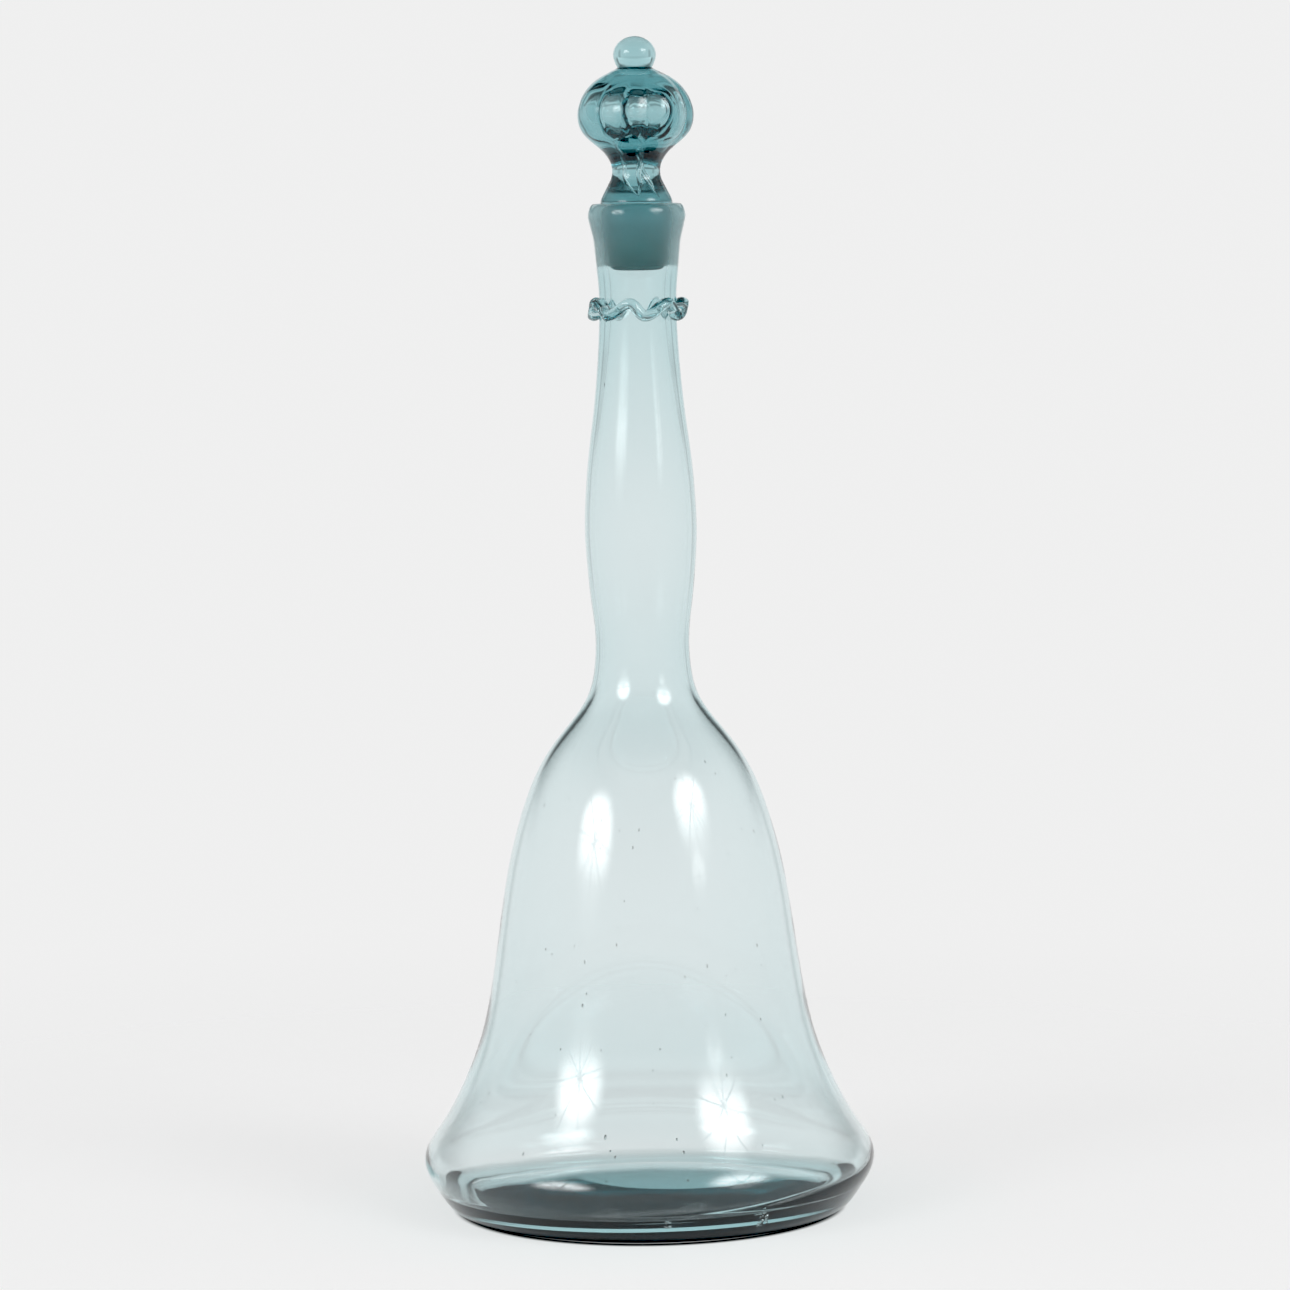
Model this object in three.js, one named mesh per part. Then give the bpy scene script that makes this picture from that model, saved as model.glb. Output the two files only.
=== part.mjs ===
// A hand-blown glass decanter with a ground-in stopper.
// Millimetres, +Z up. The origin is the middle of the circle that the base rests on.
// Azimuth is counted from the front (-Y), positive towards +X.
import * as THREE from "three";
import { mergeVertices } from "three/addons/utils/BufferGeometryUtils.js";

// ---------------------------------------------------------------- dimensions
const VESSEL_SEGMENTS = 44; // facets round the vessel
const STOPPER_SEGMENTS = 49; // facets round the stopper, seven to each lobe
const KNOB_SEGMENTS = 24;

const LIP_Z = 285; // top of the mouth
const FOOT_INNER_R = 43; // the flat ring that the base stands on
const FOOT_OUTER_R = 53;
const FLOOR_TOP_Z = 9.9; // top of the domed floor at the axis
const FLOOR_RIM_Z = 3.8; // where the dome starts, near the wall
const FLOOR_RIM_R = 53;
const FLOOR_TILT = [0.9, 0.7]; // rise of the floor at the front and on the right
const HOLLOW = { x: 7, y: 10, r: 27, depth: 1.5 }; // ground and polished hollow of the underside

const SEAT_TOP_R = 10.3; // ground taper of the mouth
const SEAT_BOTTOM_R = 8.75;
const SEAT_BOTTOM_Z = 267.4;
const PEG_GAP = 0.25; // clearance of the peg in the ground seat
const PEG_BOTTOM_Z = 266.2;

const LOBES = 7; // ribs of the stopper's bulb
const LOBE_PHASE = THREE.MathUtils.degToRad(13.5); // azimuth of one groove
const LOBE_DEPTH = 1.3; // depth of a groove at the bulb's widest place

const KNOB_R = 6.0;
const KNOB_HALF_HEIGHT = 5.25;
const KNOB_Z = 326.35;
const KNOB_SEAT_Z = 323.1; // flat where the ball sits on the bulb
const BULB_TOP_Z = 322.8;

const TRAIL_Z = 255.4; // mid height of the pinched thread
const TRAIL_R = 12.85; // radius of the thread's centre line
const TRAIL_HALF_WIDTH = 1.65; // of its section, away from the neck
const TRAIL_HALF_HEIGHT = 1.3; // of its section, up and down
const TRAIL_CRESTS = [-10, 42.5, 95, 145, 197, 249, 300]; // azimuths of the pinched-up places
const TRAIL_FALL = 0.36; // share of each wave in which it drops
const TRAIL_WAVE_HEIGHT = 1.8; // centre line above and below its mid height
const TRAIL_STEPS = 84;
const TRAIL_SIDES = 8;

// Outside of the vessel from the foot ring to the lip: [radius, height].
const OUTSIDE = [
  [FOOT_OUTER_R, 0], [56.4, 0.7], [58.8, 3.0], [61.6, 7.2], [63.6, 10.8],
  [64.3, 14.0], [63.3, 18.2], [60.6, 22.2], [56.2, 29.2], [51.9, 38.1],
  [48.2, 48.0], [45.4, 59.4], [42.8, 75.4], [40.2, 92.4], [37.3, 106.0],
  [33.9, 117.0], [29.8, 126.1], [24.6, 133.9], [19.3, 140.2], [15.6, 145.5],
  [13.8, 152.2], [13.2, 160.8], [14.0, 170.2], [15.2, 181.0], [15.85, 193.0],
  [15.3, 205.6], [13.7, 220.2], [12.1, 233.6], [11.05, 246.0], [10.85, 257.0],
  [11.4, 266.4], [12.1, 273.4], [13.4, 280.0], [13.75, 282.4], [13.4, 284.0],
  [12.5, LIP_Z],
];

// Inside of the vessel from the mouth down to the floor.
const INSIDE = [
  [SEAT_TOP_R + 0.5, LIP_Z], [SEAT_TOP_R, LIP_Z - 0.6],
  [SEAT_BOTTOM_R, SEAT_BOTTOM_Z], [8.0, 263.0], [7.75, 255.0], [8.05, 246.0],
  [9.5, 233.6], [11.8, 220.2], [13.75, 205.6], [14.4, 193.0], [13.7, 181.0],
  [12.35, 170.2], [11.5, 160.8], [12.1, 152.2], [14.0, 145.2], [17.8, 139.4],
  [23.3, 132.8], [28.6, 125.1], [32.75, 116.1], [36.1, 105.4], [39.0, 92.1],
  [41.6, 75.1], [44.1, 59.1], [46.75, 47.5], [50.4, 37.5], [55.05, 28.6],
  [59.7, 21.6], [62.3, 17.75], [63.1, 13.95], [62.4, 11.3], [60.4, 7.95],
  [58.9, 6.0], [54.8, 4.5],
];

// Stopper from the peg's flat end to the flat under the ball: [radius, height, lobe].
// The third number is how much of the full groove depth the section has.
const STOPPER = [
  [7.1, PEG_BOTTOM_Z, 0],
  [SEAT_BOTTOM_R - PEG_GAP - 0.1, SEAT_BOTTOM_Z + 0.6, 0],
  [SEAT_TOP_R - PEG_GAP, LIP_Z - 0.5, 0],
  [10.05, 285.9, 0.05], [9.0, 288.0, 0.12], [7.75, 290.3, 0.2],
  [6.95, 292.2, 0.25], [6.8, 293.8, 0.25], [7.05, 295.7, 0.25],
  [8.0, 297.7, 0.3], [9.6, 299.5, 0.4], [11.7, 301.3, 0.55],
  [13.8, 303.0, 0.72], [15.4, 304.9, 0.88], [16.4, 307.1, 0.97],
  [16.7, 309.5, 1], [16.4, 311.7, 1], [15.6, 314.2, 0.95],
  [14.3, 316.5, 0.85], [12.4, 318.6, 0.7], [9.9, 320.2, 0.5],
  [7.4, 321.5, 0.28], [5.7, 322.3, 0.12], [5.0, BULB_TOP_Z, 0],
];

// ---------------------------------------------------------------- helpers
const GLASS = { roughness: 0.06, metalness: 0 };

// Turns a profile of [radius, height] points about Z, from the axis to the axis.
// The first facet edge lies at the azimuth start.
function turned(points, segments, shape, start = 0) {
  const g = new THREE.LatheGeometry(
    points.map(([r, z]) => new THREE.Vector2(Math.max(r, 0), z)),
    segments,
    start,
  );
  g.rotateX(Math.PI / 2);
  g.deleteAttribute("normal");
  g.deleteAttribute("uv");
  if (shape) {
    const p = g.getAttribute("position");
    const v = new THREE.Vector3();
    for (let i = 0; i < p.count; i++) {
      v.fromBufferAttribute(p, i);
      shape(v, i % points.length);
      p.setXYZ(i, v.x, v.y, v.z);
    }
  }
  const merged = mergeVertices(g, 1e-4);
  merged.computeVertexNormals();
  return merged;
}

function piece(name, geometry, colour) {
  const mesh = new THREE.Mesh(
    geometry,
    new THREE.MeshStandardMaterial({ color: colour, ...GLASS }),
  );
  mesh.name = name;
  return mesh;
}

// ---------------------------------------------------------------- the vessel
const underside = [0, 9, 18, 27, 35, FOOT_INNER_R].map((r) => [r, 0]);
const floor = [0.985, 0.86, 0.68, 0.45, 0.22, 0].map((f) => [
  FLOOR_RIM_R * f,
  FLOOR_RIM_Z + (FLOOR_TOP_Z - FLOOR_RIM_Z) * (1 - f * f),
]);
const vesselProfile = [...underside, ...OUTSIDE, ...INSIDE, ...floor];
const inner = underside.length + OUTSIDE.length; // the inside starts here
const vessel = piece(
  "vessel",
  turned(vesselProfile, VESSEL_SEGMENTS, (v, k) => {
    if (k < underside.length - 1) {
      // the off-centre hollow that took away the pontil scar
      const d = Math.hypot(v.x - HOLLOW.x, v.y - HOLLOW.y) / HOLLOW.r;
      v.z += Math.max(0, HOLLOW.depth * (1 - d * d));
    } else if (k >= inner) {
      // the floor lies a little askew
      const low = Math.min(1, Math.max(0, (13 - v.z) / 6));
      v.z += ((FLOOR_TILT[1] * v.x - FLOOR_TILT[0] * v.y) / 55) * low;
    }
  }),
  0xa9cdd2,
);

// ---------------------------------------------------------------- the pinched thread
// Height of the thread's centre line at an azimuth, 1 on a crest and -1 in a trough.
// It drops fast after each crest and climbs slowly to the next.
function trailWave(azimuth) {
  const first = TRAIL_CRESTS[0];
  const at = first + ((((azimuth - first) % 360) + 360) % 360);
  const edges = [...TRAIL_CRESTS, first + 360];
  let k = 0;
  while (k < TRAIL_CRESTS.length - 1 && edges[k + 1] <= at) k++;
  const u = (at - edges[k]) / (edges[k + 1] - edges[k]);
  return u < TRAIL_FALL
    ? Math.cos((Math.PI * u) / TRAIL_FALL)
    : -Math.cos((Math.PI * (u - TRAIL_FALL)) / (1 - TRAIL_FALL));
}

const wreath = new THREE.TorusGeometry(TRAIL_R, 1, TRAIL_SIDES, TRAIL_STEPS);
wreath.deleteAttribute("normal");
wreath.deleteAttribute("uv");
{
  const p = wreath.getAttribute("position");
  for (let i = 0; i < p.count; i++) {
    const x = p.getX(i), y = p.getY(i), z = p.getZ(i);
    const round = Math.atan2(y, x);
    const out = Math.hypot(x, y) - TRAIL_R; // -1 towards the neck, +1 away from it
    const wave = trailWave(THREE.MathUtils.radToDeg(Math.atan2(x, -y)));
    const r = TRAIL_R + out * TRAIL_HALF_WIDTH;
    p.setXYZ(
      i,
      r * Math.cos(round),
      r * Math.sin(round),
      TRAIL_Z + z * TRAIL_HALF_HEIGHT + wave * TRAIL_WAVE_HEIGHT,
    );
  }
}
const trailGeometry = mergeVertices(wreath, 1e-4);
trailGeometry.computeVertexNormals();
const neckTrail = piece("neck_trail", trailGeometry, 0x86b9be);

// ---------------------------------------------------------------- the stopper
const stopperProfile = [[0, PEG_BOTTOM_Z, 0], ...STOPPER, [0, BULB_TOP_Z, 0]];
const stopper = piece(
  "stopper",
  turned(
    stopperProfile,
    STOPPER_SEGMENTS,
    (v, k) => {
      const lobe = stopperProfile[k][2];
      const r = Math.hypot(v.x, v.y);
      if (!lobe || r < 1e-6) return;
      const groove = 1 - Math.abs(Math.sin((LOBES / 2) * (Math.atan2(v.x, -v.y) - LOBE_PHASE)));
      const scale = (r - LOBE_DEPTH * lobe * groove) / r;
      v.x *= scale;
      v.y *= scale;
    },
    LOBE_PHASE,
  ),
  0x3f7f86,
);

// ---------------------------------------------------------------- the ball on the stopper
const knobProfile = [[0, KNOB_SEAT_Z]];
const knobStart = Math.asin((KNOB_SEAT_Z - KNOB_Z) / KNOB_HALF_HEIGHT);
for (let i = 0; i <= 10; i++) {
  const a = knobStart + ((Math.PI / 2 - knobStart) * i) / 10;
  knobProfile.push([
    i === 10 ? 0 : KNOB_R * Math.cos(a),
    KNOB_Z + KNOB_HALF_HEIGHT * Math.sin(a),
  ]);
}
const stopperKnob = piece("stopper_knob", turned(knobProfile, KNOB_SEGMENTS), 0x9fc6cc);

// ---------------------------------------------------------------- the decanter
const decanter = new THREE.Group();
decanter.name = "decanter";
const flask = new THREE.Group();
flask.name = "flask";
flask.add(vessel, neckTrail);
const closure = new THREE.Group();
closure.name = "closure";
closure.add(stopper, stopperKnob);
decanter.add(flask, closure);

export default decanter;
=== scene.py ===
import math
import random

import bpy
import numpy as np
from mathutils import Matrix, Vector


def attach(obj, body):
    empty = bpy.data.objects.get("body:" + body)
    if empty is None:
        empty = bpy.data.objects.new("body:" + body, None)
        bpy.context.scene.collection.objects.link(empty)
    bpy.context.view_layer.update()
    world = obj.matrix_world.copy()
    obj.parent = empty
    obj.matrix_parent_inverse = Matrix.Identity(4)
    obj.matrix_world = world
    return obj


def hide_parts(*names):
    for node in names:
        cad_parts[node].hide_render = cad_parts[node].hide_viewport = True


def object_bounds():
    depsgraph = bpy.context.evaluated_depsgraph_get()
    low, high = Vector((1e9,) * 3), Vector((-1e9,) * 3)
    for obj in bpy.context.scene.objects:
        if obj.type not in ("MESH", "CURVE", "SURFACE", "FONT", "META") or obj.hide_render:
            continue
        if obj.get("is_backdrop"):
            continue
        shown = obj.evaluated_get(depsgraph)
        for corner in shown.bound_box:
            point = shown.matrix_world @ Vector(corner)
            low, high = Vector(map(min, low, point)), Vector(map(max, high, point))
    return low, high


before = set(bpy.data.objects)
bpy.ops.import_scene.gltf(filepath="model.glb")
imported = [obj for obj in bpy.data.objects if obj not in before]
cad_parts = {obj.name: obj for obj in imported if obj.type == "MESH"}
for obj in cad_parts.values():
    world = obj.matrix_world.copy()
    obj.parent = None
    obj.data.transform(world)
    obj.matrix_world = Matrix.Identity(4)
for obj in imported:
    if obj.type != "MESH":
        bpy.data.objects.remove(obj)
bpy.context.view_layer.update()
MM = 0.001
rng = random.Random(7)


# ------------------------------------------------------------------ curves
def spline(points, step):
    """Centripetal Catmull-Rom curve through the points, sampled about every step."""
    p = [np.array(q, float) for q in points]
    p = [2 * p[0] - p[1]] + p + [2 * p[-1] - p[-2]]
    out = []
    for a, b, c, d in zip(p, p[1:], p[2:], p[3:]):
        t0 = 0.0
        t1 = t0 + max(np.linalg.norm(b - a), 1e-6) ** 0.5
        t2 = t1 + max(np.linalg.norm(c - b), 1e-6) ** 0.5
        t3 = t2 + max(np.linalg.norm(d - c), 1e-6) ** 0.5
        n = max(1, int(math.ceil(np.linalg.norm(c - b) / step)))
        for k in range(n):
            t = t1 + (t2 - t1) * k / n
            a1 = (t1 - t) / (t1 - t0) * a + (t - t0) / (t1 - t0) * b
            a2 = (t2 - t) / (t2 - t1) * b + (t - t1) / (t2 - t1) * c
            a3 = (t3 - t) / (t3 - t2) * c + (t - t2) / (t3 - t2) * d
            b1 = (t2 - t) / (t2 - t0) * a1 + (t - t0) / (t2 - t0) * a2
            b2 = (t3 - t) / (t3 - t1) * a2 + (t - t1) / (t3 - t1) * a3
            out.append((t2 - t) / (t2 - t1) * b1 + (t - t1) / (t2 - t1) * b2)
    out.append(p[-2])
    return [tuple(map(float, q)) for q in out]


def table(pairs):
    xs, ys = zip(*sorted(pairs))
    return lambda x: float(np.interp(x, xs, ys))


# ------------------------------------------------------------------ meshes
def turned(profile, segments, shape=None):
    """Vertices (mm) and faces of a profile [(r, z), ...] turned about Z. A point on the axis becomes one vertex.
    shape(azimuth, r, z, k) -> (r, z) bends each ring point. Azimuth 0 is the front (-Y), positive towards +X."""
    verts, rings = [], []
    for k, (r, z) in enumerate(profile):
        if r < 1e-6:
            rings.append([len(verts)])
            verts.append((0.0, 0.0, z))
            continue
        ring = []
        for i in range(segments):
            a = 2 * math.pi * i / segments
            rr, zz = shape(a, r, z, k) if shape else (r, z)
            ring.append(len(verts))
            verts.append((rr * math.sin(a), -rr * math.cos(a), zz))
        rings.append(ring)
    faces = []
    for lower, upper in zip(rings, rings[1:]):
        for i in range(segments):
            j = (i + 1) % segments
            if len(lower) == 1 and len(upper) == 1:
                continue
            if len(lower) == 1:
                faces.append((lower[0], upper[j], upper[i]))
            elif len(upper) == 1:
                faces.append((lower[i], lower[j], upper[0]))
            else:
                faces.append((lower[i], lower[j], upper[j], upper[i]))
    return verts, faces


def bubble_mesh(verts, faces, centre, axis, radii, detail=(10, 6)):
    """Adds a small closed air bubble to a glass body: an ellipsoid whose faces look inwards."""
    w = Vector(axis).normalized()
    u = w.orthogonal().normalized()
    v = w.cross(u)
    c = Vector(centre)
    n, m = detail
    base = len(verts)
    verts.append(tuple(c - w * radii[1]))
    for k in range(1, m):
        t = math.pi * k / m - math.pi / 2
        for i in range(n):
            a = 2 * math.pi * i / n
            q = c + w * (radii[1] * math.sin(t)) + (u * math.cos(a) + v * math.sin(a)) * (radii[0] * math.cos(t))
            verts.append(tuple(q))
    verts.append(tuple(c + w * radii[1]))
    top = len(verts) - 1
    ring = lambda k, i: base + 1 + (k - 1) * n + i % n
    for i in range(n):
        faces.append((base, ring(1, i), ring(1, i + 1)))
        faces.append((top, ring(m - 1, i + 1), ring(m - 1, i)))
        for k in range(1, m - 1):
            faces.append((ring(k, i), ring(k + 1, i), ring(k + 1, i + 1), ring(k, i + 1)))


def made(name, verts, faces, material):
    mesh = bpy.data.meshes.new(name)
    mesh.from_pydata([(x * MM, y * MM, z * MM) for x, y, z in verts], [], faces)
    mesh.validate()
    mesh.polygons.foreach_set("use_smooth", [True] * len(mesh.polygons))
    mesh.materials.append(material)
    mesh.update()
    ob = bpy.data.objects.new(name, mesh)
    bpy.context.scene.collection.objects.link(ob)
    return ob


# ------------------------------------------------------------------ node helpers
def new_material(name):
    m = bpy.data.materials.new(name)
    m.use_nodes = True
    m.node_tree.nodes.clear()
    return m, m.node_tree.nodes, m.node_tree.links


def add(nodes, kind, **inputs):
    n = nodes.new(kind)
    for key, value in inputs.items():
        n.inputs[key.replace("_", " ")].default_value = value
    return n


def maths(nodes, links, op, a, b=None, c=None, clamp=False):
    n = nodes.new("ShaderNodeMath")
    n.operation = op
    n.use_clamp = clamp
    for i, v in enumerate((a, b, c)):
        if v is None:
            continue
        if isinstance(v, (int, float)):
            n.inputs[i].default_value = v
        else:
            links.new(v, n.inputs[i])
    return n.outputs[0]


def ranged(nodes, links, value, a, b, c, d, smooth=True):
    n = nodes.new("ShaderNodeMapRange")
    n.interpolation_type = "SMOOTHSTEP" if smooth else "LINEAR"
    links.new(value, n.inputs["Value"])
    for key, v in zip(("From Min", "From Max", "To Min", "To Max"), (a, b, c, d)):
        n.inputs[key].default_value = v
    return n.outputs["Result"]


# Absorption of the blue-green glass for each metre, in red, green and blue.
ABSORB = (82.0, 40.0, 36.0)
DENSITY = 100.0


def glass(name, ground=None, tint_and_low_shade=None, wave=0.00003, deep=1.0):
    """Blue-green glass, tinted by its depth. ground(nodes, links, xyz) gives a 0..1 mask of the matt, ground zones."""
    m, nodes, links = new_material(name)
    out = nodes.new("ShaderNodeOutputMaterial")
    b = add(nodes, "ShaderNodeBsdfPrincipled", Base_Color=(1, 1, 1, 1), IOR=1.51, Transmission_Weight=1.0)
    links.new(b.outputs["BSDF"], out.inputs["Surface"])
    v = nodes.new("ShaderNodeVolumeAbsorption")
    v.inputs["Color"].default_value = (*(1 - a * deep / DENSITY for a in ABSORB), 1)
    v.inputs["Density"].default_value = DENSITY
    links.new(v.outputs[0], out.inputs["Volume"])
    where = nodes.new("ShaderNodeTexCoord").outputs["Object"]
    xyz = nodes.new("ShaderNodeSeparateXYZ")
    links.new(where, xyz.inputs[0])
    # a faint film of dust and handling marks: slightly rougher patches
    film = add(nodes, "ShaderNodeTexNoise", Scale=45.0, Detail=5.0, Roughness=0.62)
    links.new(where, film.inputs["Vector"])
    rough = ranged(nodes, links, film.outputs["Fac"], 0.5, 0.78, 0.0, 0.05)
    if ground:
        mask = ground(nodes, links, xyz.outputs)
        grain = add(nodes, "ShaderNodeTexNoise", Scale=2600.0, Detail=2.0)
        links.new(where, grain.inputs["Vector"])
        matt = ranged(nodes, links, grain.outputs["Fac"], 0.3, 0.7, 0.42, 0.58)
        mix = nodes.new("ShaderNodeMix")
        mix.data_type = "FLOAT"
        links.new(mask, mix.inputs["Factor"])
        links.new(rough, mix.inputs["A"])
        links.new(matt, mix.inputs["B"])
        rough = mix.outputs["Result"]
        if tint_and_low_shade:
            # painted shade: the ground faces are coloured darker towards their lower end
            low = ranged(nodes, links, xyz.outputs[2], 0.266, 0.285, 1.0, 0.0)
            painted_low_shade = nodes.new("ShaderNodeMix")
            painted_low_shade.data_type = "RGBA"
            links.new(low, painted_low_shade.inputs["Factor"])
            painted_low_shade.inputs["A"].default_value = (*tint_and_low_shade[0], 1)
            painted_low_shade.inputs["B"].default_value = (*tint_and_low_shade[1], 1)
            whole = nodes.new("ShaderNodeMix")
            whole.data_type = "RGBA"
            links.new(mask, whole.inputs["Factor"])
            whole.inputs["A"].default_value = (1, 1, 1, 1)
            links.new(painted_low_shade.outputs["Result"], whole.inputs["B"])
            links.new(whole.outputs["Result"], b.inputs["Base Color"])
    links.new(rough, b.inputs["Roughness"])
    # the gentle unevenness of hand-worked glass
    ripple = add(nodes, "ShaderNodeTexNoise", Scale=60.0, Detail=2.0, Roughness=0.5)
    links.new(where, ripple.inputs["Vector"])
    bump = add(nodes, "ShaderNodeBump", Strength=1.0, Distance=wave)
    links.new(ripple.outputs["Fac"], bump.inputs["Height"])
    links.new(bump.outputs["Normal"], b.inputs["Normal"])
    return m


# ------------------------------------------------------------------ the vessel
OUTSIDE = [
    (53.0, 0.0), (55.2, 0.28), (56.9, 1.05), (58.3, 2.4), (59.7, 4.3), (61.2, 6.55), (62.7, 8.9),
    (63.7, 11.0), (64.25, 13.0), (64.25, 15.2), (63.6, 17.4), (62.35, 19.7), (60.7, 22.0),
    (58.4, 25.3), (55.95, 29.65), (53.75, 34.0), (51.75, 38.3), (50.0, 42.65), (48.45, 47.0),
    (47.15, 51.3), (46.1, 55.7), (45.2, 60.0), (44.4, 64.3), (43.1, 73.0), (41.85, 81.6),
    (40.5, 90.2), (38.95, 98.8), (36.8, 107.4), (34.15, 116.0), (32.55, 120.3), (30.6, 124.6),
    (28.2, 128.9), (25.2, 133.2), (21.7, 137.5), (18.1, 141.8), (15.5, 146.0), (14.2, 150.3),
    (13.55, 154.6), (13.22, 158.9), (13.22, 163.1), (13.6, 167.4), (14.2, 171.7), (14.72, 175.9),
    (15.4, 184.4), (15.86, 193.0), (15.55, 201.4), (14.95, 209.9), (13.95, 218.4), (12.8, 226.9),
    (11.95, 235.3), (11.28, 243.8), (10.88, 252.2), (10.82, 256.5), (10.9, 260.5), (11.4, 266.0),
    (11.82, 270.4), (12.3, 274.9), (12.82, 277.2), (13.35, 279.4), (13.68, 280.8), (13.74, 281.7),
    (13.58, 282.7), (13.3, 283.6), (12.95, 284.3), (12.45, 284.82), (11.8, 285.0),
]
WALL_POINTS = [
    (3, 1.4), (8, 1.35), (11, 1.25), (14, 1.05), (17, 0.85), (20, 0.85), (28, 1.27), (35, 1.6), (45, 1.55), (60, 1.25),
    (87, 1.12), (107, 1.15),
    (125, 1.35), (137, 1.6), (143, 1.7), (150, 1.75), (160, 1.75), (170, 1.6), (181, 1.45), (193, 1.4),
    (205, 1.5), (220, 1.8), (235, 2.2), (248, 2.7), (262, 3.0),
]
SEAT_TOP, SEAT_BOTTOM = (10.28, 284.2), (8.78, 267.8)


def evened(values, width):
    """Even samples with their small wobble smoothed away over about width samples. The ends stay."""
    n = int(3 * width)
    kernel = np.exp(-0.5 * (np.arange(-n, n + 1) / width) ** 2)
    v = np.asarray(values, float)
    v = np.concatenate((2 * v[0] - v[n:0:-1], v, 2 * v[-1] - v[-2:-n - 2:-1]))
    return np.convolve(v, kernel / kernel.sum(), "valid")


def outer_line(step=0.8, width=3.0):
    """The outside from the foot to the lip at even steps, smooth between the heel and the mouth."""
    fine = np.array(spline(OUTSIDE, 0.25))
    s = np.concatenate(([0.0], np.cumsum(np.linalg.norm(np.diff(fine, axis=0), axis=1))))
    at = np.linspace(0.0, s[-1], int(s[-1] / step) + 1)
    r, z = np.interp(at, s, fine[:, 0]), np.interp(at, s, fine[:, 1])
    w = np.clip((z - 16.0) / 8.0, 0, 1) * np.clip((264.0 - z) / 8.0, 0, 1)
    r, z = r + w * (evened(r, width / step) - r), z + w * (evened(z, width / step) - z)
    return list(zip(map(float, r), map(float, z)))


def wall_table():
    z = np.arange(0.0, 285.1, 0.5)
    t = evened([float(np.interp(q, *zip(*WALL_POINTS))) for q in z], 6)
    return table(list(zip(z, t)))


def inner_wall(outer, wall):
    """The inside of the wall from the neck to the heel, the outside moved in by the wall's thickness."""
    got = []
    for a, b, c in zip(outer, outer[1:], outer[2:]):
        if not 2.0 < b[1] < 260 or c[1] <= a[1]:
            continue
        t = np.array(c) - np.array(a)
        t /= np.linalg.norm(t)
        n = np.array((-t[1], t[0]))  # to the left of the way up, so towards the axis
        q = np.array(b) + n * wall(b[1])
        if q[1] > EDGE_Z + HEEL_STOP:
            got.append(tuple(q))
    got.reverse()
    keep = [got[0]]
    for q in got[1:]:
        if q[1] < keep[-1][1] - (1.5 if q[1] > 24 else 0.9):
            keep.append(q)
    return keep


MOUTH = [
    (11.1, 285.0), (10.72, 284.92), (10.42, 284.66), SEAT_TOP, (9.9, 280.0), (9.35, 274.0), SEAT_BOTTOM,
    (8.5, 266.0), (8.1, 263.0),
]
# the inside of the heel follows its outside down to a tight corner, and the floor swells up from there
HEEL_STOP = 1.9
EDGE_Z, CENTRE_Z, RIM_R, DOME_POWER = 3.8, 9.9, 53.0, 2.0
CORNER = 1.1
TILT = (0.9, 0.7)  # the floor is a little thicker at the front and on the right
DISH = (7.0, 10.0, 27.0, 1.5)  # the ground and polished hollow under the base: middle, radius and depth


def dome(r):
    return EDGE_Z + (CENTRE_Z - EDGE_Z) * (1 - min(1.0, r / RIM_R) ** DOME_POWER)


def vessel_mesh(segments=224):
    outer, wall = outer_line(), wall_table()
    under = [(r, 0.0) for r in np.arange(0.0, 52.5, 0.75)]
    floor = [(RIM_R + 1.8, EDGE_Z + CORNER)]
    for f in (0.995, 0.955, 0.9, 0.835, 0.76, 0.68, 0.585, 0.48, 0.37, 0.24, 0.11, 0.0):
        floor.append((RIM_R * f, dome(RIM_R * f)))
    inside = spline(MOUTH + inner_wall(outer, wall) + floor, 0.8)
    profile = [(max(0.0, float(r)), float(z)) for r, z in under + outer[:-1] + inside]
    profile[-1] = (0.0, profile[-1][1])
    under_to = len(under)
    heel_from = max(k for k, q in enumerate(profile) if q[1] > 13.0)
    floor_from = max(k for k, q in enumerate(profile) if q[0] > 54.5)

    def by_hand(a, r, z, k):
        """The slight wander of a body blown and turned by hand."""
        u = z / 285.0
        amount = 0.0045 * math.sin(2 * a + 1.1 + 3.0 * u) + 0.0022 * math.sin(3 * a + 4.0 - 5.0 * u)
        fade = min(1.0, max(0.0, (z - 3.0) / 20.0)) * min(1.0, max(0.0, (262.0 - z) / 20.0))
        if k < under_to:
            d = math.hypot(r * math.sin(a) - DISH[0], -r * math.cos(a) - DISH[1]) / DISH[2]
            z += max(0.0, DISH[3] * (1 - d * d))
        if k >= heel_from:
            z += (TILT[0] * math.cos(a) + TILT[1] * math.sin(a)) * r / 55.0 * min(1.0, max(0.0, (13.0 - z) / 6.0))
        return r * (1 + amount * fade), z

    verts, faces = turned(profile, segments, by_hand)
    middle = math.hypot(DISH[0], DISH[1]) / DISH[2]
    verts[0] = (0.0, 0.0, max(0.0, DISH[3] * (1 - middle * middle)))
    return verts, faces


def radius_of(nodes, links, xyz):
    xx = maths(nodes, links, "MULTIPLY", xyz[0], xyz[0])
    yy = maths(nodes, links, "MULTIPLY_ADD", xyz[1], xyz[1], xx)
    return maths(nodes, links, "SQRT", yy)


def ground_seat(nodes, links, xyz):
    """The ground taper inside the mouth."""
    near = ranged(nodes, links, radius_of(nodes, links, xyz), 0.0105, 0.0109, 1.0, 0.0)
    high = ranged(nodes, links, xyz[2], 0.2668, 0.2682, 0.0, 1.0)
    return maths(nodes, links, "MULTIPLY", near, high)


def ground_peg(nodes, links, xyz):
    """The ground peg of the stopper."""
    return ranged(nodes, links, xyz[2], 0.2846, 0.2854, 1.0, 0.0)


# in each pair the second colour is painted shade at the low end of the ground faces
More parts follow.
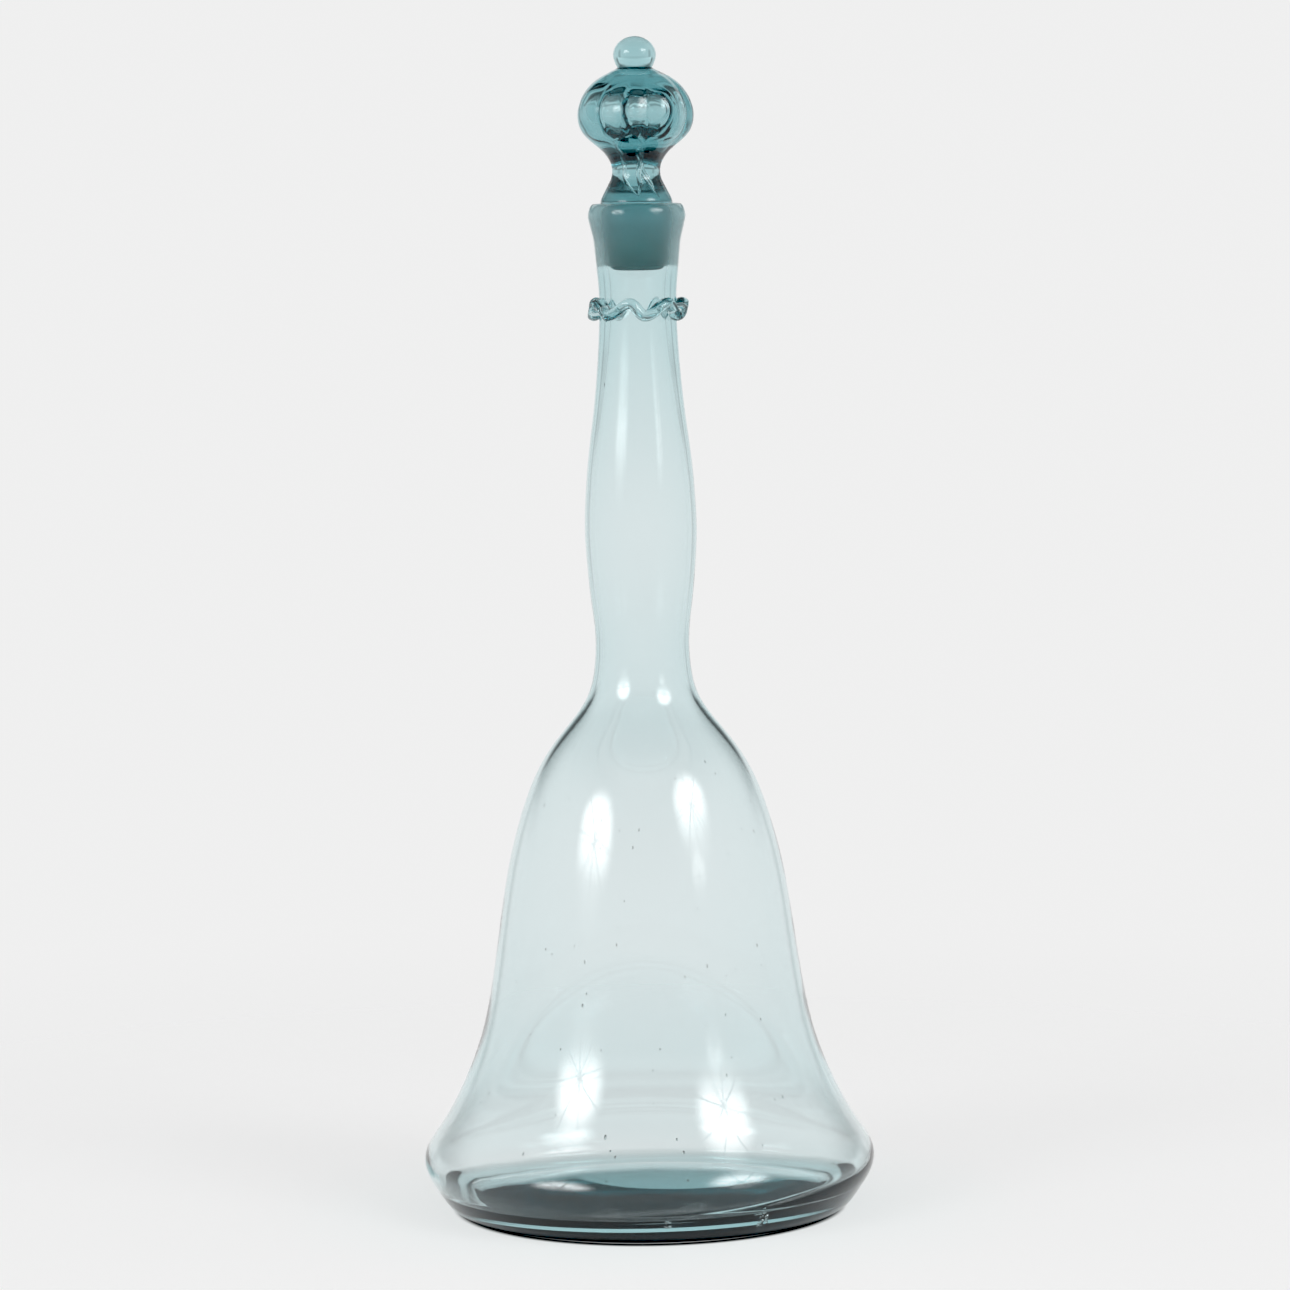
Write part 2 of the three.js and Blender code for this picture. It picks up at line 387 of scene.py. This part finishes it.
vessel_glass = glass("vessel_glass", ground=ground_seat, tint_and_low_shade=((0.95, 1.0, 1.0), (0.66, 0.9, 0.88)))
stopper_glass = glass("stopper_glass", ground=ground_peg, tint_and_low_shade=((0.95, 1.0, 1.0), (0.17, 0.44, 0.42)), deep=1.07)
trail_glass = glass("trail_glass")
knob_glass = glass("knob_glass")

verts, faces = vessel_mesh()
outer_at = table([(z, r) for r, z in outer_line()][10:])
WALL = wall_table()
for k in range(70):
    z = rng.uniform(18, 128)
    a = rng.uniform(0, 2 * math.pi)
    r = outer_at(z) - WALL(z) * rng.uniform(0.45, 0.6)
    slope = (outer_at(z + 1) - outer_at(z - 1)) / 2
    along = (slope * math.sin(a), -slope * math.cos(a), 1.0)
    size = rng.uniform(0.09, 0.2)
    bubble_mesh(verts, faces, (r * math.sin(a), -r * math.cos(a), z), along, (size, size * rng.uniform(1.2, 3.2)))
# larger seeds low on the front: azimuth in degrees, height, half width and half length
for a, z, size, long in (
    (-12.5, 29.6, 0.32, 0.75), (-24.0, 64.0, 0.26, 0.5), (-56.4, 234.3, 0.24, 0.5), (-10.7, 26.2, 0.25, 0.3),
    (-9.2, 24.7, 0.25, 0.45), (7.8, 29.0, 0.25, 0.4), (9.4, 25.7, 0.27, 0.5), (-11.0, 18.8, 0.25, 0.3),
    (9.6, 18.8, 0.25, 0.4), (-31.2, 51.7, 0.2, 0.36), (4.1, 52.5, 0.18, 0.3),
):
    a = math.radians(a)
    r = outer_at(z) - WALL(z) * 0.5
    slope = (outer_at(z + 1) - outer_at(z - 1)) / 2
    bubble_mesh(verts, faces, (r * math.sin(a), -r * math.cos(a), z), (slope * math.sin(a), -slope * math.cos(a), 1.0), (size, long))


def bruise(azimuth, height, wide, tall, count):
    """A knock on the heel: a cluster of thin cracks just under the surface, each a flat closed gap."""
    for k in range(count):
        a = math.radians(azimuth) + wide / 60.0 * rng.uniform(-1, 1)
        z = height + tall * rng.uniform(-1, 1)
        r = outer_at(z) - rng.uniform(0.7, 0.85)
        lean = Vector((math.sin(a), -math.cos(a), 0.9)) + 0.5 * Vector([rng.uniform(-1, 1) for _ in range(3)])
        size = rng.uniform(0.3, 0.52)
        bubble_mesh(verts, faces, (r * math.sin(a), -r * math.cos(a), z), lean, (size, 0.05), (12, 4))


bruise(31.3, 5.6, 1.5, 1.9, 34)
bruise(4.5, 6.6, 0.9, 1.0, 10)
vessel = made("vessel_body", verts, faces, vessel_glass)
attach(vessel, "vessel")
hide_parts("vessel")

# ------------------------------------------------------------------ the pinched trail
CRESTS = [-10.0, 42.5, 95.0, 145.0, 197.0, 249.0, 300.0]
SWING = [1.0, 1.05, 0.9, 1.1, 0.95, 1.05, 0.9]
FALL = 0.36


def trail_centre(azimuth):
    """Radius and height (mm) of the trail's centre line: it climbs slowly and drops fast from each crest."""
    d = math.degrees(azimuth)
    edges = CRESTS + [CRESTS[0] + 360.0]
    d = (d - CRESTS[0]) % 360.0 + CRESTS[0]
    k = max(i for i in range(7) if edges[i] <= d + 1e-9)
    u = (d - edges[k]) / (edges[k + 1] - edges[k])
    a, b = SWING[k], SWING[(k + 1) % 7]
    if u < FALL:
        w = math.cos(math.pi * u / FALL)
        s = a
    else:
        w = -math.cos(math.pi * (u - FALL) / (1 - FALL))
        s = a + (b - a) * (u - FALL) / (1 - FALL)
    return 12.5 + 0.1 * abs(w), 255.35 + 1.75 * s * w


def trail_mesh(steps=420, sides=36):
    """A thread melted on to the neck: its inner side follows the neck's surface."""
    def point(a):
        r, z = trail_centre(a)
        return Vector((r * math.sin(a), -r * math.cos(a), z))

    verts, faces = [], []
    for i in range(steps):
        a = 2 * math.pi * i / steps
        p = point(a)
        t = (point(a + 0.004) - point(a - 0.004)).normalized()
        outward = Vector((math.sin(a), -math.cos(a), 0))
        n = (outward - t * outward.dot(t)).normalized()
        b = t.cross(n)
        swell = 1 + 0.05 * math.sin(5 * a + 0.6) + 0.03 * math.sin(11 * a + 2.0)
        for j in range(sides):
            q = 2 * math.pi * j / sides
            drawn = swell * (1 + 0.022 * math.cos(5 * q + 9 * a))  # fine lines drawn along the thread
            deep = 1.7 if math.cos(q) > 0 else 2.5
            v = p + n * (deep * drawn * math.cos(q)) + b * (1.5 * drawn * math.sin(q))
            away, least = math.hypot(v.x, v.y), outer_at(v.z) - 0.06
            if away < least:
                v.x, v.y = v.x * least / away, v.y * least / away
            verts.append(tuple(v))
    for i in range(steps):
        for j in range(sides):
            i2, j2 = (i + 1) % steps, (j + 1) % sides
            faces.append((i * sides + j, i * sides + j2, i2 * sides + j2, i2 * sides + j))
    return verts, faces


verts, faces = trail_mesh()
trail = made("neck_trail_thread", verts, faces, trail_glass)
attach(trail, "vessel")
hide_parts("neck_trail")

# ------------------------------------------------------------------ the stopper
STOPPER = [
    (0.0, 266.2), (3.5, 266.2), (6.2, 266.25), (6.95, 266.5), (7.5, 267.0), (8.15, 267.8), (8.48, 268.5),
    (8.72, 270.6), (9.25, 276.2), (9.8, 281.9), (10.03, 284.4), (10.12, 285.4), (9.86, 286.3), (9.0, 288.1),
    (7.9, 290.2), (7.15, 291.8), (6.82, 293.4), (6.85, 294.8), (7.2, 296.2), (7.95, 297.6), (9.2, 299.2),
    (10.5, 300.4), (11.9, 301.5), (13.3, 302.65), (14.5, 303.8), (15.45, 305.0), (16.1, 306.3), (16.55, 307.9),
    (16.7, 309.6), (16.55, 311.2), (16.1, 312.8), (15.4, 314.6), (14.4, 316.2), (13.2, 317.7), (11.6, 319.1),
    (9.8, 320.3), (8.0, 321.2), (6.6, 321.9), (5.7, 322.3), (5.1, 322.7), (4.85, 322.88), (3.5, 322.9), (0.0, 322.9),
]
RIB = table([
    (285.2, 0.0), (288, 0.05), (293, 0.05), (296, 0.1), (298, 0.25), (300, 0.48), (303, 0.8), (307, 1.05), (311, 1.1),
    (315, 1.0),
    (318, 0.75), (320.5, 0.42), (322, 0.12), (322.8, 0.0),
])
TWIST = table([(285, 12.0), (293, 4.0), (297, 1.0), (300, 0.0)])
RIB_AT, LOBE_AT = math.radians(13.5), math.radians(22.0)


def groove(azimuth, count, soft):
    """1 in the middle of a groove between two ribs, 0 on a rib."""
    s = math.sqrt(math.sin(count / 2 * azimuth) ** 2 + soft * soft)
    top = math.sqrt(1 + soft * soft)
    return (top - s) / (top - soft)


def ribbed(a, r, z, k):
    """Seven ribs, pinched by hand: the grooves are shallower at the sides and the right side is pressed in a little."""
    depth = 1.1 * RIB(z) * (1 - 0.6 * max(0.0, -math.sin(a)) ** 2 - 0.3 * max(0.0, math.sin(a)) ** 2)
    pressed = 0.3 * min(1.0, RIB(z)) * max(0.0, math.sin(a)) ** 2
    return r - pressed - depth * groove(a - RIB_AT - math.radians(TWIST(z)), 7, 0.22), z


verts, faces = turned([(max(0.0, r), z) for r, z in spline(STOPPER, 0.45)], 192, ribbed)
BUBBLE = [
    (0.0, 304.5), (1.5, 304.8), (4.0, 305.1), (7.1, 305.8), (9.5, 307.0), (11.0, 308.7), (11.4, 310.4), (10.9, 312.1),
    (9.5, 313.7), (6.5, 314.9), (3.3, 315.3), (0.0, 315.4),
]
bv, bf = turned(
    [(max(0.0, r), z) for r, z in spline(BUBBLE, 0.3)], 96, lambda a, r, z, k: (r - 0.14 * r * groove(a - LOBE_AT, 8, 0.35), z)
)
start = len(verts)
verts += bv
faces += [tuple(start + i for i in reversed(f)) for f in bf]


def air_thread(verts, faces, points, radius, sides=10):
    """A thin closed thread of air along the points, pointed at both ends. Its faces look inwards."""
    line = [Vector(q) for q in spline(points, 0.4)]
    n, base = len(line), len(verts)
    verts.append(tuple(line[0]))
    for k in range(1, n - 1):
        t = (line[k + 1] - line[k - 1]).normalized()
        u = (Vector((1, 0, 0)) - t * t.x).normalized()
        v = t.cross(u)
        size = radius * min(1.0, 0.25 + 4.0 * min(k, n - 1 - k) / n)
        for j in range(sides):
            q = 2 * math.pi * j / sides
            verts.append(tuple(line[k] + u * (size * math.cos(q)) + v * (size * math.sin(q))))
    verts.append(tuple(line[-1]))
    at = lambda k, j: base + 1 + (k - 1) * sides + j % sides
    for j in range(sides):
        faces.append((base, at(1, j), at(1, j + 1)))
        faces.append((len(verts) - 1, at(n - 2, j + 1), at(n - 2, j)))
        for k in range(1, n - 2):
            faces.append((at(k, j), at(k + 1, j), at(k + 1, j + 1), at(k, j + 1)))


# the bubble's tail, drawn down through the stem and twisted a little
for thread, radius in (
    ([(-4.6, -2.6, 305.6), (-3.4, -2.6, 301.0), (-2.6, -2.6, 296.5), (-2.6, -2.8, 292.0), (-1.7, -3.6, 289.0), (0.3, -4.4, 286.2)], 0.52),
    ([(0.9, -2.0, 305.4), (0.2, -2.4, 301.0), (1.1, -2.6, 297.0), (0.5, -2.8, 293.0), (0.9, -3.2, 289.0), (0.5, -4.2, 286.0)], 0.62),
    ([(0.3, -1.0, 305.2), (1.2, -1.4, 300.5), (0.4, -1.6, 296.0), (1.6, -2.0, 292.4), (3.2, -3.0, 289.0), (5.6, -4.2, 285.9)], 0.5),
    ([(2.4, 0.6, 305.0), (1.2, 0.4, 299.0), (1.4, 0.2, 294.0), (2.8, -0.6, 290.0), (4.2, -1.8, 286.0)], 0.4),
):
    air_thread(verts, faces, thread, radius)
# a drawn seam of air in the peg
air_thread(verts, faces, [(-0.4, -6.6, 283.6), (1.4, -6.6, 279.6), (3.6, -6.3, 275.0), (5.2, -5.6, 271.4)], 0.16)
stopper = made("stopper_body", verts, faces, stopper_glass)
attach(stopper, "stopper")
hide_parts("stopper")

KNOB = [(0.0, 322.84), (3.5, 322.84), (4.7, 322.86), (5.0, 323.1), (5.25, 323.6)]
for k in range(1, 15):
    t = math.radians(-28 + 118 * k / 14)
    KNOB.append((6.0 * math.cos(t) if k < 14 else 0.0, 326.35 + 5.25 * math.sin(t)))
verts, faces = turned([(max(0.0, r), z) for r, z in spline(KNOB, 0.3)], 96)
knob = made("stopper_knob_ball", verts, faces, knob_glass)
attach(knob, "stopper")
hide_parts("stopper_knob")

# ------------------------------------------------------------------ floor
WHITE, CONTACT = 0.87, -0.002
m, nodes, links = new_material("studio_floor")
out = nodes.new("ShaderNodeOutputMaterial")
where = nodes.new("ShaderNodeTexCoord").outputs["Object"]
length = nodes.new("ShaderNodeVectorMath")
length.operation = "DISTANCE"
links.new(where, length.inputs[0])
length.inputs[1].default_value = (0.0, CONTACT, 0.0)
away = length.outputs["Value"]
# a pale table that glows evenly, with painted light and shade near the decanter: a painted contact shadow round the
# foot, a painted glow under the base for light coming through the glass, and a painted bluish tint near the base
matt = nodes.new("ShaderNodeBsdfDiffuse")
glow = add(nodes, "ShaderNodeEmission", Color=(1, 1, 1, 1))
tone = nodes.new("ShaderNodeCombineColor")
# painted contact shadow: the floor's colour is dark in a thin ring round the foot and lighter under the base
albedo_painted_shadow_and_light = maths(nodes, links, "ADD", ranged(nodes, links, away, 0.0540, 0.0566, 0.03, 0.33),
              ranged(nodes, links, away, 0.0465, 0.0505, 0.75, 0.0))
# painted tint: less red near the base, a bluish painted shadow
red_with_painted_tint = maths(nodes, links, "MULTIPLY", albedo_painted_shadow_and_light, ranged(nodes, links, away, 0.056, 0.12, 0.9, 1.0))
for key, level in (("Red", red_with_painted_tint), ("Green", albedo_painted_shadow_and_light), ("Blue", albedo_painted_shadow_and_light)):
    links.new(level, tone.inputs[key])
links.new(tone.outputs["Color"], matt.inputs["Color"])
# painted contact shadow: the glow is cut off inside the ring round the foot
glow_cut_by_painted_shadow = ranged(nodes, links, away, 0.0540, 0.0566, 0.0, 0.625)
# painted light under the base, standing in for light that comes down through the glass
PAINTED_UNDER_LIGHT, PAINTED_RIM_LIGHT = 0.69, 0.85
painted_light_under_base = ranged(nodes, links, away, 0.039, 0.046, PAINTED_UNDER_LIGHT, PAINTED_RIM_LIGHT)
painted_light_under_base = maths(nodes, links, "MULTIPLY", painted_light_under_base, ranged(nodes, links, away, 0.0500, 0.0530, 1.0, 0.0))
links.new(maths(nodes, links, "ADD", glow_cut_by_painted_shadow, painted_light_under_base), glow.inputs["Strength"])
paper = nodes.new("ShaderNodeAddShader")
links.new(matt.outputs[0], paper.inputs[0])
links.new(glow.outputs[0], paper.inputs[1])
clear = nodes.new("ShaderNodeBsdfTransparent")
fade = ranged(nodes, links, away, 0.16, 0.55, 0.0, 1.0)
mix = nodes.new("ShaderNodeMixShader")
links.new(fade, mix.inputs[0])
links.new(paper.outputs[0], mix.inputs[1])
links.new(clear.outputs[0], mix.inputs[2])
links.new(mix.outputs[0], out.inputs["Surface"])
fv = [(0.0, 0.0, 0.0)]
ff = []
for i in range(96):
    a = 2 * math.pi * i / 96
    fv.append((600 * math.sin(a), -600 * math.cos(a), 0.0))
    ff.append((0, 1 + i, 1 + (i + 1) % 96))
floor = made("floor", fv, ff, m)
floor.location.z = -0.0001
floor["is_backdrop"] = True

# ------------------------------------------------------------------ light
world = bpy.data.worlds.new("studio")
bpy.context.scene.world = world
world.use_nodes = True
nodes, links = world.node_tree.nodes, world.node_tree.links
nodes.clear()
out = nodes.new("ShaderNodeOutputWorld")
bg = nodes.new("ShaderNodeBackground")
links.new(bg.outputs[0], out.inputs["Surface"])
sep = nodes.new("ShaderNodeSeparateXYZ")
links.new(nodes.new("ShaderNodeTexCoord").outputs["Generated"], sep.inputs[0])
elevation = maths(nodes, links, "ARCSINE", sep.outputs[2])
# a low white sweep all round, white walls on both sides, a dim room behind and in front, and a pale ceiling
DIM, BEHIND, FRONT, CEILING = 0.16, 0.13, 0.58, 0.3
flat = maths(nodes, links, "SQRT", maths(nodes, links, "MULTIPLY_ADD", sep.outputs[0], sep.outputs[0],
                                         maths(nodes, links, "MULTIPLY", sep.outputs[1], sep.outputs[1])))
aside = maths(nodes, links, "DIVIDE", maths(nodes, links, "ABSOLUTE", sep.outputs[0]), flat)
gap = ranged(nodes, links, aside, 0.47, 0.54, 1.0, 0.0)
gap = maths(nodes, links, "ADD", gap, ranged(nodes, links, aside, 0.575, 0.65, 0.0, 1.0))
facing = ranged(nodes, links, sep.outputs[1], -0.5, -0.1, 1.0, 0.0)
low_down = maths(nodes, links, "MULTIPLY", ranged(nodes, links, elevation, math.radians(4.0), math.radians(12.0), 0.32, 0.0),
                 ranged(nodes, links, elevation, math.radians(-14.0), math.radians(-6.0), 0.0, 1.0))
low_down = maths(nodes, links, "MULTIPLY", low_down, maths(nodes, links, "SUBTRACT", 1.0, facing))
gap = maths(nodes, links, "SUBTRACT", 1.0, maths(nodes, links, "MULTIPLY", low_down, maths(nodes, links, "SUBTRACT", 1.0, gap)))
aside = maths(nodes, links, "ADD",
              maths(nodes, links, "MULTIPLY", ranged(nodes, links, aside, 0.60, 0.94, 0.0, 1.0), maths(nodes, links, "SUBTRACT", 1.0, facing)),
              maths(nodes, links, "MULTIPLY", ranged(nodes, links, aside, 0.30, 1.0, 0.0, 1.0), facing))
room = ranged(nodes, links, elevation, math.radians(3.0), math.radians(12.5), WHITE, BEHIND)
front = maths(nodes, links, "SUBTRACT", ranged(nodes, links, elevation, math.radians(-2.0), math.radians(32.0), WHITE, FRONT),
              ranged(nodes, links, elevation, math.radians(46.0), math.radians(76.0), 0.0, FRONT - DIM))
room = maths(nodes, links, "ADD", maths(nodes, links, "MULTIPLY", front, facing),
             maths(nodes, links, "MULTIPLY", room, maths(nodes, links, "SUBTRACT", 1.0, facing)))
walls = ranged(nodes, links, elevation, math.radians(24.0), math.radians(62.0), WHITE, DIM)
level = maths(nodes, links, "ADD", maths(nodes, links, "MULTIPLY", walls, aside),
              maths(nodes, links, "MULTIPLY", room, maths(nodes, links, "SUBTRACT", 1.0, aside)))
high = ranged(nodes, links, elevation, math.radians(42.0), math.radians(60.0), 0.0, CEILING - DIM)
level = maths(nodes, links, "MULTIPLY", maths(nodes, links, "ADD", level, high), gap)
links.new(level, bg.inputs["Strength"])
bg.inputs["Color"].default_value = (1, 1, 1, 1)


def umbrella(name, azimuth, elevation, distance, radius, radiance, aim=(0, 0, 0.1)):
    """A round studio umbrella: brightest above its hub, dim at the lower rim, with thin ribs."""
    data = bpy.data.lights.new(name, "AREA")
    data.shape = "DISK"
    data.size = 2 * radius
    data.energy = radiance * math.pi * math.pi * radius * radius
    ob = bpy.data.objects.new(name, data)
    a, e = math.radians(azimuth), math.radians(elevation)
    ob.location = Vector(aim) + distance * Vector((math.sin(a) * math.cos(e), -math.cos(a) * math.cos(e), math.sin(e)))
    ob.rotation_mode = "QUATERNION"
    ob.rotation_quaternion = (Vector(aim) - ob.location).to_track_quat("-Z", "Y")
    ob.visible_camera = False
    bpy.context.scene.collection.objects.link(ob)
    data.use_nodes = True
    nodes, links = data.node_tree.nodes, data.node_tree.links
    nodes.clear()
    out = nodes.new("ShaderNodeOutputLight")
    emit = nodes.new("ShaderNodeEmission")
    links.new(emit.outputs[0], out.inputs["Surface"])
    turn = ob.rotation_quaternion.to_matrix()
    place = nodes.new("ShaderNodeVectorMath")
    place.operation = "SUBTRACT"
    links.new(nodes.new("ShaderNodeNewGeometry").outputs["Position"], place.inputs[0])
    place.inputs[1].default_value = ob.location
    axes = []
    for k in (0, 1):
        dot = nodes.new("ShaderNodeVectorMath")
        dot.operation = "DOT_PRODUCT"
        links.new(place.outputs[0], dot.inputs[0])
        dot.inputs[1].default_value = turn.col[k] / radius
        axes.append(dot.outputs["Value"])
    u, v = axes
    rr = maths(nodes, links, "SQRT", maths(nodes, links, "MULTIPLY_ADD", u, u, maths(nodes, links, "MULTIPLY", v, v)))
    rim = ranged(nodes, links, rr, 0.35, 1.0, 1.0, 0.0)
    lit = ranged(nodes, links, v, -0.6, 0.3, 0.12, 1.0)
    turns = maths(nodes, links, "MULTIPLY", maths(nodes, links, "ARCTAN2", v, u), 4.0)
    off_rib = maths(nodes, links, "MULTIPLY", maths(nodes, links, "ABSOLUTE", maths(nodes, links, "SINE", turns)), rr)
    rib = ranged(nodes, links, off_rib, 0.03, 0.12, 0.2, 1.0)
    level = maths(nodes, links, "MULTIPLY", maths(nodes, links, "MULTIPLY", rim, lit), rib)
    links.new(level, emit.inputs["Strength"])
    return ob


umbrella("umbrella_left", -48, 22.5, 1.8, 0.62, 8.5)
umbrella("umbrella_right", 52, 31, 1.8, 0.62, 8.5)
umbrella("fill_right", 48, 14, 1.8, 0.26, 1.9)

# a white card hung behind, above the picture, fading out at its lower edge
CARD = (0.60, 0.27, 0.35, 0.80)  # width, height, distance behind and radiance
card_data = bpy.data.lights.new("white_card", "AREA")
card_data.shape = "RECTANGLE"
card_data.size, card_data.size_y = CARD[0], CARD[1]
card_data.energy = CARD[3] * math.pi * CARD[0] * CARD[1]
card = bpy.data.objects.new("white_card", card_data)
card.location = (0.0, CARD[2], 0.355 + CARD[1] / 2)
card.rotation_euler = (math.radians(-90), 0, 0)
card.visible_camera = False
bpy.context.scene.collection.objects.link(card)
card_data.use_nodes = True
nodes, links = card_data.node_tree.nodes, card_data.node_tree.links
nodes.clear()
out = nodes.new("ShaderNodeOutputLight")
emit = nodes.new("ShaderNodeEmission")
links.new(emit.outputs[0], out.inputs["Surface"])
sep = nodes.new("ShaderNodeSeparateXYZ")
links.new(nodes.new("ShaderNodeNewGeometry").outputs["Position"], sep.inputs[0])
links.new(maths(nodes, links, "MULTIPLY", ranged(nodes, links, sep.outputs[2], 0.355, 0.40, 0.0, 1.0),
                ranged(nodes, links, sep.outputs[2], 0.46, 0.55, 1.0, 0.1)), emit.inputs["Strength"])

# ------------------------------------------------------------------ camera
FOCAL_PX, FRAME_PX = 4752.0, 1290.0
cam_data = bpy.data.cameras.new("camera")
cam_data.sensor_width = 36.0
cam_data.lens = 36.0 * FOCAL_PX / FRAME_PX
cam_data.clip_start, cam_data.clip_end = 0.05, 50.0
cam = bpy.data.objects.new("camera", cam_data)
bpy.context.scene.collection.objects.link(cam)
cam.location = (0.0007, -1.3408, 0.285)
look = Matrix.Rotation(math.radians(90 - 5.314), 4, "X")
cam.matrix_world = Matrix.Translation(cam.location) @ look @ Matrix.Rotation(math.radians(-0.78), 4, "Z")
bpy.context.scene.camera = cam

scene = bpy.context.scene
scene.view_settings.view_transform = "Standard"
scene.view_settings.look = "None"
# the picture's black point, a touch above no light at all
scene.view_settings.use_curve_mapping = True
scene.view_settings.curve_mapping.black_level = (0.02, 0.02, 0.02)
scene.view_settings.curve_mapping.update()
scene.cycles.max_bounces = 32
scene.cycles.transmission_bounces = 32
scene.cycles.glossy_bounces = 16
scene.cycles.transparent_max_bounces = 16
scene.cycles.diffuse_bounces = 4
scene.cycles.sample_clamp_indirect = 12.0
scene.cycles.use_denoising = True

# ------------------------------------------------------------------ sizes
low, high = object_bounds()
